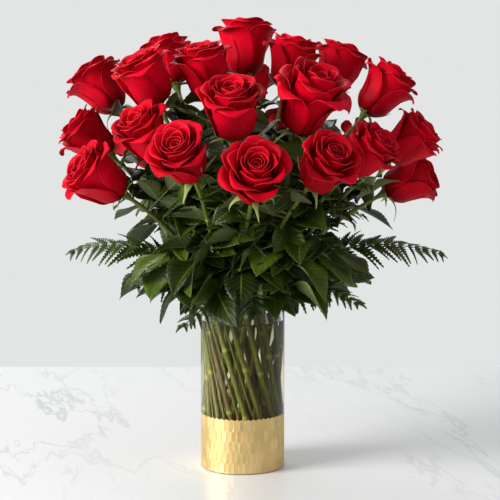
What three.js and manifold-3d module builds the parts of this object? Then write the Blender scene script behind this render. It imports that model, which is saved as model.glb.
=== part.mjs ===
// Two dozen cut roses with leatherleaf fern, arranged as a dome in a glass cylinder vase. The vase
// stands in a gold band of honeycomb cells, and holds water nearly to its rim. Each rose is a bloom on
// a stem that carries one leaf. The stems cross in the vase as a florist's spiral does: an outer ring
// turns one way, a middle ring the other way and three stems fill the centre.
// Millimetres, +Z up. The origin is the centre of the vase's foot, and -Y is the bouquet's front.

import * as THREE from "three";
import Module from "manifold-3d";
import { mergeVertices } from "three/addons/utils/BufferGeometryUtils.js";

const wasm = await Module();
wasm.setup();

// ---- Driving dimensions ------------------------------------------------------------------------

const GAP = 0.3; // left between pieces that touch
const FINEST = 0.03; // joined pieces keep no detail below this

const VASE_RADIUS = 51;
const VASE_HEIGHT = 203;
const GLASS_WALL = 3.5;
const GLASS_BASE = 12; // the thick floor of the vase
const RIM_ROUND = 1.2;
const VASE_SIDES = 36;
const WATER_BELOW_RIM = 21;

const BAND_BOTTOM = 1;
const BAND_TOP = 66; // at the notches between the cells
const BAND_WALL = 1.2;
const CELLS_AROUND = 48; // honeycomb cells in one row of the band
const CELL_TIP = 1.8; // how far a cell's pointed end stands above its shoulders

const STEM_RADIUS = 3;
const STEM_SIDES = 6;
const STEM_STEPS = 6; // one for the straight part in the vase, and the rest for the curve above it
const FOOT_CLEARANCE = 1.5; // from the vase's floor to a stem's cut end
const HIP_RADIUS = 7; // the swelling that carries the petals
const HIP_LENGTH = 10;

const FOCUS_ABOVE_RIM = 35; // every bloom faces away from this point on the vase's axis
const BLOOM_SIDES = 10;
const BLOOM_DEPTH_SHARE = 0.84; // a bloom's depth over its width

const LEAFLET_LENGTH = 60; // of the leaflet at a leaf's end; the pair beside it is smaller
const LEAFLET_WIDTH = 38;
const SIDE_LEAFLET_SHARE = 0.72;
const SIDE_LEAFLET_ANGLE = 62; // degrees from the leaf's midline
const PETIOLE_LENGTH = 22; // from the stem to the side leaflets
const RACHIS_LENGTH = 20; // from the side leaflets to the end one
const PETIOLE_WIDTH = 3;
const LEAF_THICK = 1.2;
const LEAF_CLEARANCE = 1; // from a leaf to every other piece
const LEAF_LEAST_ANGLE = 40; // degrees between a leaf and its own stem

const STALK_RADIUS = 1.4; // of a fern frond
const STALK_SIDES = 5;
const STALK_STEPS = 4;
const FROND_THICK = 1.6;
const PINNAE = 6; // pairs of side fronds

// Where the stems stand: the radius of each ring over the vase's bore, at the mouth and at the cut
// ends. At the mouth the stems of a ring are evenly spaced from start, and turn is the angle that
// the ring's cut ends are turned by, seen from above.
const RINGS = {
  outer: { mouthShare: 0.895, footShare: 0.875, turn: 78, start: -170 },
  middle: { mouthShare: 0.59, footShare: 0.59, turn: -85, start: -165 },
  inner: { mouthShare: 0.23, footShare: 0.25, turn: 100, start: -150 },
};

// The roses, ring by ring and in order round it. azimuth runs anticlockwise from +X, lean is from the
// vertical, reach is from the focus to the middle of the bloom, and width is across the open bloom.
const ROSES = {
  outer: [
    { azimuth: -157, lean: 56, reach: 214, width: 74 },
    { azimuth: -139, lean: 40, reach: 223, width: 68 },
    { azimuth: -114, lean: 47, reach: 219, width: 70 },
    { azimuth: -85, lean: 52, reach: 212, width: 75 },
    { azimuth: -55, lean: 49, reach: 211, width: 72 },
    { azimuth: -30, lean: 48, reach: 222, width: 66 },
    { azimuth: -9, lean: 51, reach: 254, width: 68 },
    { azimuth: 11, lean: 62, reach: 230, width: 68 },
    { azimuth: 38, lean: 53, reach: 226, width: 72 },
    { azimuth: 70, lean: 48, reach: 225, width: 72 },
    { azimuth: 104, lean: 53, reach: 220, width: 74 },
    { azimuth: 136, lean: 50, reach: 226, width: 72 },
    { azimuth: 180, lean: 48, reach: 243, width: 67 },
  ],
  middle: [
    { azimuth: -160, lean: 27, reach: 260, width: 70 },
    { azimuth: -96, lean: 28, reach: 225, width: 76 },
    { azimuth: -51, lean: 30, reach: 240, width: 88 },
    { azimuth: 9, lean: 38, reach: 275, width: 72 },
    { azimuth: 34, lean: 30, reach: 277, width: 68 },
    { azimuth: 88, lean: 32, reach: 250, width: 72 },
    { azimuth: 139, lean: 26, reach: 278, width: 68 },
    { azimuth: 161, lean: 40, reach: 284, width: 72 },
  ],
  inner: [
    { azimuth: -141, lean: 13, reach: 248, width: 70 },
    { azimuth: 10, lean: 13, reach: 258, width: 68 },
    { azimuth: 87, lean: 12, reach: 273, width: 74 },
  ],
};

// The fern fronds: the outer ring's gap each stands in, counted from its first rose, the tip's azimuth,
// how far beyond the vase's side and how far above its rim the tip is, the blade's width at its base,
// and roll, the degrees that the blade's left edge is raised by.
const FRONDS = [
  { gap: 0, azimuth: -150, beyond: 93, tipRise: 29, width: 84, roll: -28 },
  { gap: 1, azimuth: -131, beyond: 57, tipRise: -17, width: 60, roll: -15 },
  { gap: 3, azimuth: -84, beyond: 71, tipRise: 5, width: 74, roll: 10 },
  { gap: 5, azimuth: -29, beyond: 107, tipRise: 9, width: 78, roll: 26 },
  { gap: 6, azimuth: 2, beyond: 193, tipRise: 55, width: 104, roll: 30 },
  { gap: 8, azimuth: 40, beyond: 153, tipRise: 89, width: 90, roll: 25 },
  { gap: 9, azimuth: 90, beyond: 139, tipRise: 29, width: 100, roll: 5 },
  { gap: 11, azimuth: 130, beyond: 145, tipRise: 37, width: 100, roll: -12 },
  { gap: 12, azimuth: 179, beyond: 157, tipRise: 59, width: 104, roll: -28 },
];
const FROND_RISE_SHARE = 0.3; // of the frond's reach beyond the mouth, that it first rises by
const FROND_ARCH_SHARE = 0.16; // of that reach, that it arches above its tip
const FROND_BARE_SHARE = 0.24; // of the frond's length above the mouth that carries no blade

// ---- Materials ---------------------------------------------------------------------------------

const GLASS = new THREE.MeshStandardMaterial({ color: 0xdde6e4, roughness: 0.05, metalness: 0 });
const WATER = new THREE.MeshStandardMaterial({ color: 0xcfdcd8, roughness: 0.02, metalness: 0 });
const GOLD = new THREE.MeshStandardMaterial({ color: 0xd9b25e, roughness: 0.3, metalness: 1 });
const PETAL = new THREE.MeshStandardMaterial({ color: 0xb00a1c, roughness: 0.6, metalness: 0 });
const STEM = new THREE.MeshStandardMaterial({ color: 0x55702a, roughness: 0.55, metalness: 0 });
const FERN = new THREE.MeshStandardMaterial({ color: 0x2b5220, roughness: 0.6, metalness: 0 });

// ---- Helpers -----------------------------------------------------------------------------------

const UP = new THREE.Vector3(0, 0, 1);
const degrees = THREE.MathUtils.degToRad;

// A point given by its azimuth in degrees, its distance from the vase's axis and its height.
function around(azimuth, radius, height) {
  const a = degrees(azimuth);
  return new THREE.Vector3(radius * Math.cos(a), radius * Math.sin(a), height);
}

// A solid of revolution about Z, from [radius, height] points that run up the outside.
function turned(profile, sides) {
  const points = profile.map(([r, z]) => new THREE.Vector2(r, z));
  return new THREE.LatheGeometry(points, sides).rotateX(Math.PI / 2);
}

// A regular section for a tube.
function section(radius, sides) {
  const corners = [];
  for (let i = 0; i < sides; i++) {
    const a = (2 * Math.PI * i) / sides;
    corners.push(new THREE.Vector2(radius * Math.cos(a), radius * Math.sin(a)));
  }
  return new THREE.Shape(corners);
}

function tube(path, radius, sides, steps) {
  return new THREE.ExtrudeGeometry(section(radius, sides), { extrudePath: path, steps, bevelEnabled: false });
}

// The turn that carries +Z onto a direction.
function facing(direction) {
  return new THREE.Quaternion().setFromUnitVectors(UP, direction);
}

// A closed geometry as a solid that can be joined and cut.
function solidOf(geometry) {
  const bare = new THREE.BufferGeometry().setAttribute("position", geometry.getAttribute("position"));
  if (geometry.index) bare.setIndex(geometry.index);
  const merged = mergeVertices(bare, 1e-4);
  return new wasm.Manifold(
    new wasm.Mesh({
      numProp: 3,
      vertProperties: merged.getAttribute("position").array,
      triVerts: new Uint32Array(merged.index.array),
    }),
  );
}

function geometryOf(solid) {
  const mesh = solid.simplify(FINEST).getMesh();
  return new THREE.BufferGeometry()
    .setAttribute("position", new THREE.BufferAttribute(mesh.vertProperties, 3))
    .setIndex(new THREE.BufferAttribute(mesh.triVerts, 1));
}

// ---- The vase ----------------------------------------------------------------------------------

const vaseBore = VASE_RADIUS - GLASS_WALL;
const bandBore = VASE_RADIUS - BAND_WALL;
const recessRadius = bandBore - GAP; // the glass is let in, so that the band lies flush with it
const recessTop = BAND_TOP + CELL_TIP + GAP;
const waterLevel = VASE_HEIGHT - WATER_BELOW_RIM;
const focus = new THREE.Vector3(0, 0, VASE_HEIGHT + FOCUS_ABOVE_RIM);

function vaseGlass() {
  const chamfer = 1;
  return turned(
    [
      [0, 0],
      [recessRadius - chamfer, 0],
      [recessRadius, BAND_BOTTOM],
      [recessRadius, recessTop],
      [VASE_RADIUS, recessTop],
      [VASE_RADIUS, VASE_HEIGHT - RIM_ROUND],
      [VASE_RADIUS - RIM_ROUND, VASE_HEIGHT],
      [vaseBore + RIM_ROUND, VASE_HEIGHT],
      [vaseBore, VASE_HEIGHT - RIM_ROUND],
      [vaseBore, GLASS_BASE],
      [0, GLASS_BASE],
    ],
    VASE_SIDES,
  );
}

// A sleeve whose upper edge follows the pointed ends of the top row of cells.
function goldBand() {
  const columns = 2 * CELLS_AROUND;
  const ring = turned(
    [
      [bandBore, BAND_BOTTOM],
      [VASE_RADIUS, BAND_BOTTOM],
      [VASE_RADIUS, BAND_TOP],
      [bandBore, BAND_TOP],
      [bandBore, BAND_BOTTOM],
    ],
    columns,
  );
  const at = ring.getAttribute("position");
  const pointsInProfile = at.count / (columns + 1);
  for (let i = 0; i < at.count; i++) {
    const column = Math.floor(i / pointsInProfile);
    if (column % 2 === 1 && at.getZ(i) > BAND_TOP - GAP) at.setZ(i, BAND_TOP + CELL_TIP);
  }
  return ring;
}

// The water, with a straight way through it for each stem and stalk that stands in it.
function water(standing) {
  const body = turned(
    [
      [0, GLASS_BASE + GAP],
      [vaseBore - GAP, GLASS_BASE + GAP],
      [vaseBore - GAP, waterLevel],
      [0, waterLevel],
    ],
    VASE_SIDES,
  );
  const ways = standing.map(({ foot, mouth, radius, sides }) => {
    const along = mouth.clone().sub(foot);
    const reach = (radius + GAP) / Math.cos(Math.PI / sides);
    const way = new THREE.CylinderGeometry(reach, reach, along.length() + 2 * GAP, sides);
    way.rotateX(Math.PI / 2).applyQuaternion(facing(along.clone().normalize()));
    const middle = foot.clone().add(mouth).multiplyScalar(0.5);
    return solidOf(way.translate(middle.x, middle.y, middle.z));
  });
  return geometryOf(ways.reduce((left, way) => left.subtract(way), solidOf(body)));
}

// ---- Stems and blooms --------------------------------------------------------------------------

// Straight from the cut end to the vase's mouth, then one smooth curve that stops at a share of its
// length. Of the tube's steps the straight part takes one, and the curve takes the rest.
class StemPath extends THREE.Curve {
  constructor(foot, mouth, rise, approach, end, steps, stop) {
    super();
    this.straight = new THREE.LineCurve3(foot, mouth);
    this.curved = new THREE.CubicBezierCurve3(mouth, rise, approach, end);
    this.bend = 1 / steps;
    this.stop = stop;
  }
  alongCurve(u) {
    return (this.stop * (u - this.bend)) / (1 - this.bend);
  }
  getPointAt(u, target) {
    if (u < this.bend) return this.straight.getPointAt(u / this.bend, target);
    return this.curved.getPointAt(this.alongCurve(u), target);
  }
  getTangentAt(u, target) {
    if (u < this.bend) return this.straight.getTangentAt(u / this.bend, target);
    return this.curved.getTangentAt(this.alongCurve(u), target);
  }
}

const HANDLE_SHARE = 0.36; // a curve's handles, over the straight distance that it spans

function standIn(ring, slotsAround, slot) {
  const { mouthShare, footShare, turn, start } = RINGS[ring];
  const azimuth = start + (360 / slotsAround) * slot;
  return {
    mouth: around(azimuth, mouthShare * vaseBore, VASE_HEIGHT),
    foot: around(azimuth + turn, footShare * vaseBore, GLASS_BASE + FOOT_CLEARANCE),
  };
}

function roseLayout(ring, slot) {
  const { azimuth, lean, reach, width } = ROSES[ring][slot];
  const across = Math.sin(degrees(lean));
  const axis = around(azimuth, across, Math.cos(degrees(lean)));
  const depth = width * BLOOM_DEPTH_SHARE;
  const base = axis.clone().multiplyScalar(reach - depth / 2).add(focus);
  const { foot, mouth } = standIn(ring, ROSES[ring].length, slot);
  const end = base.clone().addScaledVector(axis, -GAP);
  const handle = HANDLE_SHARE * mouth.distanceTo(end);
  const leaving = mouth.clone().sub(foot).normalize();
  const rise = mouth.clone().addScaledVector(leaving, handle);
  const approach = end.clone().addScaledVector(axis, -handle);
  const path = new StemPath(foot, mouth, rise, approach, end, STEM_STEPS, 1);
  return { axis, base, end, foot, mouth, width, depth, path, radius: STEM_RADIUS, sides: STEM_SIDES };
}

// The outer shape of an open bloom: a narrow base, a full shoulder and a shallow, slightly sunk top.
function bloom({ axis, base, width, depth }) {
  const r = width / 2;
  return turned(
    [
      [0, 0],
      [0.2 * r, 0],
      [0.62 * r, 0.16 * depth],
      [0.93 * r, 0.45 * depth],
      [r, 0.76 * depth],
      [0.78 * r, depth],
      [0, 0.93 * depth],
    ],
    BLOOM_SIDES,
  )
    .applyQuaternion(facing(axis))
    .translate(base.x, base.y, base.z);
}

// The stem with the hip that the petals grow on.
function stem({ axis, end, path }) {
  const hip = new THREE.CylinderGeometry(HIP_RADIUS, STEM_RADIUS * 0.9, HIP_LENGTH, STEM_SIDES)
    .rotateX(Math.PI / 2)
    .translate(0, 0, -HIP_LENGTH / 2)
    .applyQuaternion(facing(axis))
    .translate(end.x, end.y, end.z);
  return solidOf(tube(path, STEM_RADIUS, STEM_SIDES, STEM_STEPS)).add(solidOf(hip));
}

// ---- Leaves ------------------------------------------------------------------------------------

// The upper half of a leaflet's outline, from its foot to its tip: [along, across] points.
function leafletHalf(length, width) {
  return [
    [0, PETIOLE_WIDTH / 2],
    [0.2 * length, 0.43 * width],
    [0.5 * length, 0.5 * width],
    [length, 0],
  ];
}

// One side of a leaf of three leaflets that lies along +X with its stem at the origin.
function leafSide() {
  const end = leafletHalf(LEAFLET_LENGTH, LEAFLET_WIDTH);
  const small = leafletHalf(LEAFLET_LENGTH * SIDE_LEAFLET_SHARE, LEAFLET_WIDTH * SIDE_LEAFLET_SHARE);
  const nearEdge = small.slice(1);
  const farEdge = small.slice(2, -1).map(([x, y]) => [x, -y]);
  const turn = degrees(SIDE_LEAFLET_ANGLE);
  const side = [...nearEdge, ...farEdge].map(([x, y]) => [
    PETIOLE_LENGTH + x * Math.cos(turn) - y * Math.sin(turn),
    x * Math.sin(turn) + y * Math.cos(turn),
  ]);
  const stalk = [
    [-STEM_RADIUS, PETIOLE_WIDTH / 2],
    [PETIOLE_LENGTH - PETIOLE_WIDTH, PETIOLE_WIDTH / 2],
  ];
  const rachis = [[PETIOLE_LENGTH + PETIOLE_WIDTH, PETIOLE_WIDTH / 2]];
  const tip = end.map(([x, y]) => [PETIOLE_LENGTH + RACHIS_LENGTH + x, y]);
  return [...stalk, ...side, ...rachis, ...tip];
}

// A leaf lying along +X with its stem at the origin.
function leafBlade() {
  const side = leafSide();
  const other = side.slice(0, -1).map(([x, y]) => [x, -y]);
  const corners = [...other, ...side.reverse()].map(([x, y]) => new THREE.Vector2(x, y));
  const options = { depth: LEAF_THICK, bevelEnabled: false };
  return new THREE.ExtrudeGeometry(new THREE.Shape(corners), options).translate(0, 0, -LEAF_THICK / 2);
}

const GOLDEN_ANGLE = 137.5;
const LEAF_TURNS = 13; // tried at each place on the stem
const LEAF_PLACES = [0.42, 0.54, 0.3, 0.66, 0.78, 0.2]; // shares of the way from the mouth to the bloom
const LEAF_DROOPS = [20, 45, -10, 60, 5, -30, -50]; // degrees below the horizontal

// Where a leaf's blade would lie on the nth try. Each try turns it about the stem by the golden
// angle, as leaves do grow. After a round of turns it moves along the stem, and then droops more.
function leafPlace({ path }, number) {
  const round = Math.floor(number / LEAF_TURNS);
  const place = LEAF_PLACES[round % LEAF_PLACES.length];
  const droop = degrees(LEAF_DROOPS[Math.floor(round / LEAF_PLACES.length)]);
  const from = path.curved.getPoint(place);
  const outward = Math.atan2(from.y, from.x) + degrees(GOLDEN_ANGLE * number);
  const turn = new THREE.Quaternion().setFromEuler(new THREE.Euler(0, droop, outward, "ZYX"));
  return new THREE.Matrix4().compose(from, turn, new THREE.Vector3(1, 1, 1));
}

function degreesAway(place, { end }) {
  const from = new THREE.Vector3().setFromMatrixPosition(place);
  const outward = new THREE.Vector3().setFromMatrixColumn(place, 0);
  const along = end.clone().sub(from);
  const angle = THREE.MathUtils.radToDeg(outward.angleTo(along));
  return Math.min(angle, 180 - angle);
}

// The first leaf of a stem that stands away from it and hangs clear of every other piece.
function clearLeaf(rose, others) {
  const tries = LEAF_TURNS * LEAF_PLACES.length * LEAF_DROOPS.length;
  for (let number = 0; number < tries; number++) {
    const place = leafPlace(rose, number);
    if (degreesAway(place, rose) < LEAF_LEAST_ANGLE) continue;
    const leaf = solidOf(leafBlade().applyMatrix4(place));
    if (others.every((other) => leaf.minGap(other, LEAF_CLEARANCE) >= LEAF_CLEARANCE)) return leaf;
  }
  throw new Error("no clear place for a leaf");
}

// ---- Fern fronds -------------------------------------------------------------------------------

function frondLayout({ gap, azimuth, beyond, tipRise, width, roll }) {
  const { foot, mouth } = standIn("outer", ROSES.outer.length, gap + 0.5);
  const tip = around(azimuth, VASE_RADIUS + beyond, VASE_HEIGHT + tipRise);
  const span = Math.hypot(tip.x - mouth.x, tip.y - mouth.y);
  const outward = new THREE.Vector3(tip.x - mouth.x, tip.y - mouth.y, 0).normalize();
  const leaving = mouth.clone().sub(foot).normalize();
  const rise = mouth.clone().addScaledVector(leaving, FROND_RISE_SHARE * span);
  const approach = tip.clone().addScaledVector(outward, -0.45 * span);
  approach.z += FROND_ARCH_SHARE * span;
  const path = new StemPath(foot, mouth, rise, approach, tip, STALK_STEPS, FROND_BARE_SHARE + 0.02);
  return { foot, mouth, width, roll, path, radius: STALK_RADIUS, sides: STALK_SIDES };
}

// A frond's blade, flat, from its base at the origin along +X: a narrow spine with pairs of pointed
// pinnae that lean forwards and shorten towards the tip. Each pinna's triangle and each stretch of
// spine between them has its own faces, so that the blade can be bent afterwards without folding.
function flatBlade(length, width) {
  const pitch = length / (PINNAE + 0.5);
  const right = [];
  for (let i = 0; i < PINNAE; i++) {
    const middle = (i + 0.5) * pitch;
    const long = (width / 2) * (1 - middle / length) ** 0.7;
    const half = 0.36 * pitch;
    right.push([middle - half, -STALK_RADIUS], [middle + 0.45 * long, -long], [middle + half, -STALK_RADIUS]);
  }
  const tip = right.length;
  const left = right.map(([x, y]) => [x, -y]).reverse();
  const rim = [...right, [length, 0], ...left];
  const mirrored = (i) => 2 * tip - i;
  const faces = [[tip - 1, tip, mirrored(tip - 1)]];
  const strip = (a, b) => faces.push([a, b, mirrored(b)], [a, mirrored(b), mirrored(a)]);
  for (let rear = 0; rear < tip; rear += 3) {
    const front = rear + 2;
    faces.push([rear, rear + 1, front], [mirrored(front), mirrored(rear + 1), mirrored(rear)]);
    strip(rear, front);
    if (front + 1 < tip) strip(front, front + 1);
  }
  return plate(rim, faces, FROND_THICK);
}

// A closed plate from its rim, anticlockwise, and the triangles that fill it.
function plate(rim, faces, thick) {
  const count = rim.length;
  const position = [thick / 2, -thick / 2].flatMap((z) => rim.flatMap(([x, y]) => [x, y, z]));
  const top = faces.flat();
  const bottom = faces.flatMap(([a, b, c]) => [a + count, c + count, b + count]);
  const wall = rim.flatMap((_, i) => {
    const next = (i + 1) % count;
    return [i, i + count, next, next, i + count, next + count];
  });
  return new THREE.BufferGeometry()
    .setAttribute("position", new THREE.Float32BufferAttribute(position, 3))
    .setIndex([...top, ...bottom, ...wall]);
}

// A frond: a bare stalk, and a blade that follows the same curve from there and is rolled about it.
function frond({ width, roll, path }) {
  const { curved } = path;
  const length = curved.getLength() * (1 - FROND_BARE_SHARE);
  const blade = flatBlade(length, width);
  const at = blade.getAttribute("position");
  for (let i = 0; i < at.count; i++) {
    const share = FROND_BARE_SHARE + (1 - FROND_BARE_SHARE) * Math.min(at.getX(i) / length, 1);
    const centre = curved.getPointAt(share);
    const along = curved.getTangentAt(share);
    const level = new THREE.Vector3().crossVectors(UP, along).normalize();
    const normal = new THREE.Vector3().crossVectors(along, level);
    const side = level.clone().applyAxisAngle(along, degrees(roll));
    normal.applyAxisAngle(along, degrees(roll));
    centre.addScaledVector(side, at.getY(i)).addScaledVector(normal, at.getZ(i));
    at.setXYZ(i, centre.x, centre.y, centre.z);
  }
  return solidOf(tube(path, STALK_RADIUS, STALK_SIDES, STALK_STEPS)).add(solidOf(blade));
}

// ---- The bouquet -------------------------------------------------------------------------------

const bouquet = new THREE.Group();

function addPiece(name, geometry, material) {
  const mesh = new THREE.Mesh(geometry, material);
  mesh.name = name;
  bouquet.add(mesh);
}

const two = (number) => String(number).padStart(2, "0");

const roses = Object.keys(ROSES).flatMap((ring) => ROSES[ring].map((_, slot) => roseLayout(ring, slot)));
const fronds = FRONDS.map(frondLayout);

const glassGeometry = vaseGlass();
const bloomGeometries = roses.map(bloom);
const stemSolids = roses.map(stem);
const frondSolids = fronds.map(frond);

const fixed = [glassGeometry, ...bloomGeometries].map(solidOf).concat(frondSolids);
roses.forEach((rose, i) => {
  const others = fixed.concat(stemSolids.filter((_, j) => j !== i));
  stemSolids[i] = stemSolids[i].add(clearLeaf(rose, others));
});

addPiece("vase_glass", glassGeometry, GLASS);
addPiece("gold_band", goldBand(), GOLD);
addPiece("water", water([...roses, ...fronds]), WATER);
bloomGeometries.forEach((geometry, i) => addPiece(`rose_${two(i + 1)}_bloom`, geometry, PETAL));
stemSolids.forEach((solid, i) => addPiece(`rose_${two(i + 1)}_stem`, geometryOf(solid), STEM));
frondSolids.forEach((solid, i) => addPiece(`fern_frond_${i + 1}`, geometryOf(solid), FERN));

export default bouquet;
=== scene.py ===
# %% [markdown]
# # Two dozen red roses in a glass vase
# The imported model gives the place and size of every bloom, stem, leaf and frond. This lesson gives
# them their real shapes and finishes. Each plain solid stays in the physics model, and the piece that
# is made here stands for it.

import math
import random

import bpy
import numpy as np
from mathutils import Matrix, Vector


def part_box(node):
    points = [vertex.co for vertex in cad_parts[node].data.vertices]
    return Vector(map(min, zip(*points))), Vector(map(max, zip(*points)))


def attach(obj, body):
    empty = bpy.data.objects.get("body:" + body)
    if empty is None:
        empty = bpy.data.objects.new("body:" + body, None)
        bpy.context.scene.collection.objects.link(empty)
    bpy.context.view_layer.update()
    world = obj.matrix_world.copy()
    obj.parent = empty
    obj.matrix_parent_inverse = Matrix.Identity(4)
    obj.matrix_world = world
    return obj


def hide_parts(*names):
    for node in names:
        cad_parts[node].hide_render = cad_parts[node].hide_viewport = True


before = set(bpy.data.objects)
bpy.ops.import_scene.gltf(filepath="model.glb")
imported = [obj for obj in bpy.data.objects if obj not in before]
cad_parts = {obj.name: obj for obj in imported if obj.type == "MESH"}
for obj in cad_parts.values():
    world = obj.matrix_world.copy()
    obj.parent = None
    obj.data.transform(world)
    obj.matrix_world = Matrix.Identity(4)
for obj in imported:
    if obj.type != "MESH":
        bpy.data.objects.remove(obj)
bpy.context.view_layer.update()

# %% [markdown]
# ## Places, read from the frame
# A bloom's axis runs from a focus above the vase through the middle of its solid. A stem is straight
# in the vase and then curves up to its bloom, so its cut end, the vase's rim and its bloom are enough
# to draw the same curve here.

# %% Points of a node
MM = 0.001
FOCUS_ABOVE_RIM = 35 * MM
UP = Vector((0, 0, 1))

glass_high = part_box("vase_glass")[1]
band_low, band_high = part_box("gold_band")
water_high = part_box("water")[1]
RIM = glass_high.z
VASE_RADIUS = glass_high.x
FOCUS = Vector((0, 0, RIM + FOCUS_ABOVE_RIM))


def node_points(node):
    """The node's own corners, each once."""
    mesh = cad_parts[node].data
    flat = np.empty(3 * len(mesh.vertices))
    mesh.vertices.foreach_get("co", flat)
    return np.unique(np.round(flat.reshape(-1, 3), 6), axis=0)


def unit(v):
    return np.asarray(v, float) / np.linalg.norm(v)


print("rim at", RIM, "band up to", band_high.z, "water up to", water_high.z)

# %% [markdown]
# A plain bloom's corners stand round its axis. Their middle and the focus give the axis, and their
# distances along it and from it give the flower's depth and radius. Typing these numbers in for each
# flower would be another way, but they are read so that every flower stays on its own solid.

# %% Blooms


def read_bloom(node):
    points = node_points(node)
    focus = np.array(FOCUS)
    axis = unit(points.mean(0) - focus)
    along = (points - focus) @ axis
    across = np.linalg.norm(points - focus - np.outer(along, axis), axis=1)
    return {
        "axis": axis,
        "base": focus + axis * along.min(),
        "depth": along.max() - along.min(),
        "radius": across.max(),
    }


names = sorted(n[:7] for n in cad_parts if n.endswith("_bloom"))
blooms = {name: read_bloom(name + "_bloom") for name in names}
print("blooms:", len(blooms), "radius of the first:", round(blooms[names[0]]["radius"], 4))

# %% [markdown]
# A cut stem leans straight through the vase and bends above the rim, where its flower pulls it over.
# The corners at its cut end form a flat ring. The ring's middle is the foot, and the direction in
# which the ring is flattest is the way that the stem runs. A curve then joins rim and flower.

# %% Stem centrelines
HANDLE_SHARE = 0.36  # a curve's handles, over the straight distance that it spans
STEM_RADIUS = 3 * MM
STRAIGHT_POINTS = 21  # on the part of a stem that stands in the vase


def bezier(a, b, c, d, count):
    t = np.linspace(0, 1, count)[:, None]
    return (1 - t) ** 3 * a + 3 * (1 - t) ** 2 * t * b + 3 * (1 - t) * t**2 * c + t**3 * d


def straight_part(points):
    """The cut end's centre and the stem's direction, from the ring of corners at the cut end."""
    low = points[:, 2].min()
    ring = points[points[:, 2] < low + 4 * STEM_RADIUS]
    foot = ring.mean(0)
    way = unit(np.linalg.svd(ring - foot)[2][2])
    way = way if way[2] > 0 else -way
    mouth = foot + way * (RIM - foot[2]) / way[2]
    return foot, way, mouth


def stem_line(name):
    foot, way, mouth = straight_part(node_points(name + "_stem"))
    bloom = blooms[name]
    end = bloom["base"] - bloom["axis"] * 0.3 * MM
    handle = HANDLE_SHARE * np.linalg.norm(mouth - end)
    curve = bezier(mouth, mouth + way * handle, end - bloom["axis"] * handle, end, 26)
    straight = np.linspace(foot, mouth, STRAIGHT_POINTS + 1)[:-1]
    return np.vstack([straight, curve])


stem_lines = {name: stem_line(name) for name in names}
print("stems:", len(stem_lines), "the first starts at", np.round(stem_lines[names[0]][0], 3))

# %% [markdown]
# Each plain stem carries one leaf, and its corners are the ones that lie far from the centreline. Their
# flattest direction is the leaf's upper side. Its midline is the direction that leads from their
# middle back to the stem.

# %% Leaf places
LEAF_CLEAR = 9 * MM  # corners further than this from the centreline belong to the leaf
LEAF_REACH = 0.09  # the stem is looked for this far back from the leaf's middle


def away_from_line(points, line):
    """The least distance from each point to the points of a line."""
    return np.linalg.norm(points[:, None, :] - line[None, :, :], axis=2).min(1)


def leaf_place(name):
    """The foot, the midline's direction and the upper side's direction of the leaf on a stem."""
    line = stem_lines[name]
    dense = np.vstack([line[:-1] + (line[1:] - line[:-1]) * s for s in np.linspace(0, 0.9, 8)])
    points = node_points(name + "_stem")
    blade = points[away_from_line(points, dense) > LEAF_CLEAR]
    middle = blade.mean(0)
    turns = np.linalg.svd(blade - middle)[2]
    normal = turns[2] if turns[2][2] > 0 else -turns[2]
    ways = [turns[0], -turns[0], turns[1], -turns[1]]

    def back(way, count):
        return middle - np.outer(np.linspace(0, LEAF_REACH, count), way)

    way = min(ways, key=lambda w: away_from_line(back(w, 60), dense).min())
    foot = back(way, 90)[away_from_line(back(way, 90), dense).argmin()]
    return foot, way, normal


leaf_places = {name: leaf_place(name) for name in names}
print("first leaf stands at", np.round(leaf_places[names[0]][0], 3))

# %% [markdown]
# A frond's stalk is read in the same way. Past the rim it bows outwards and its tip hangs a little.
# The corners that lie further out belong to its blade, and are kept for the blade's width and roll.

# %% Frond places


def lengths_along(line):
    """The distance of each point from the line's start, measured along the line."""
    return np.append(0, np.cumsum(np.linalg.norm(np.diff(line, axis=0), axis=1)))


def refine(line, count):
    """The same line with evenly spaced points."""
    along = lengths_along(line)
    at = np.linspace(0, along[-1], count)
    return np.stack([np.interp(at, along, line[:, k]) for k in range(3)], axis=1)


def frond_line(node):
    """The stalk's line, read from the corners of the plain solid: its cut end and its tip."""
    points = node_points(node)
    foot, way, mouth = straight_part(points)
    flat = np.linalg.norm(points[:, :2] - mouth[:2], axis=1)
    tip = points[flat > flat.max() - 0.2 * MM].mean(0)
    span = np.linalg.norm((tip - mouth)[:2])
    outward = unit([tip[0] - mouth[0], tip[1] - mouth[1], 0])
    rise = mouth + way * 0.3 * span
    approach = tip - outward * 0.45 * span + np.array([0, 0, 0.16 * span])
    curve = bezier(mouth, rise, approach, tip, 60)
    blade = points[points[:, 2] > RIM - 0.03]
    blade = blade[np.linalg.norm(blade - mouth, axis=1) > 0.3 * span]
    return foot, mouth, refine(curve, 80), blade


fern_nodes = sorted(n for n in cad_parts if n.startswith("fern_"))
frond_lines = {node: frond_line(node) for node in fern_nodes}
fern_path = np.concatenate([curve[24:] for _, _, curve, _ in frond_lines.values()])
print("fronds:", len(frond_lines))

# %% [markdown]
# ## Helpers
# Petals, leaflets and the fern's side blades are thin curved sheets. Each kind starts as one flat grid
# with a UV map: u runs across it and v runs from its foot to its tip. A formula bends a copy of its
# points for every petal or leaf, and all copies of one flower become one mesh. Modelling each by hand
# would take weeks, and one petal copied round would look stamped, so the formula takes a few random
# numbers from a fixed seed.

# %% Mesh helpers


def deselect():
    bpy.ops.object.select_all(action="DESELECT")


def active(piece):
    deselect()
    piece.select_set(True)
    bpy.context.view_layer.objects.active = piece


def new_piece(name, mesh):
    """An object for a mesh, linked and active."""
    piece = bpy.data.objects.new(name, mesh)
    bpy.context.scene.collection.objects.link(piece)
    active(piece)
    return piece


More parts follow.
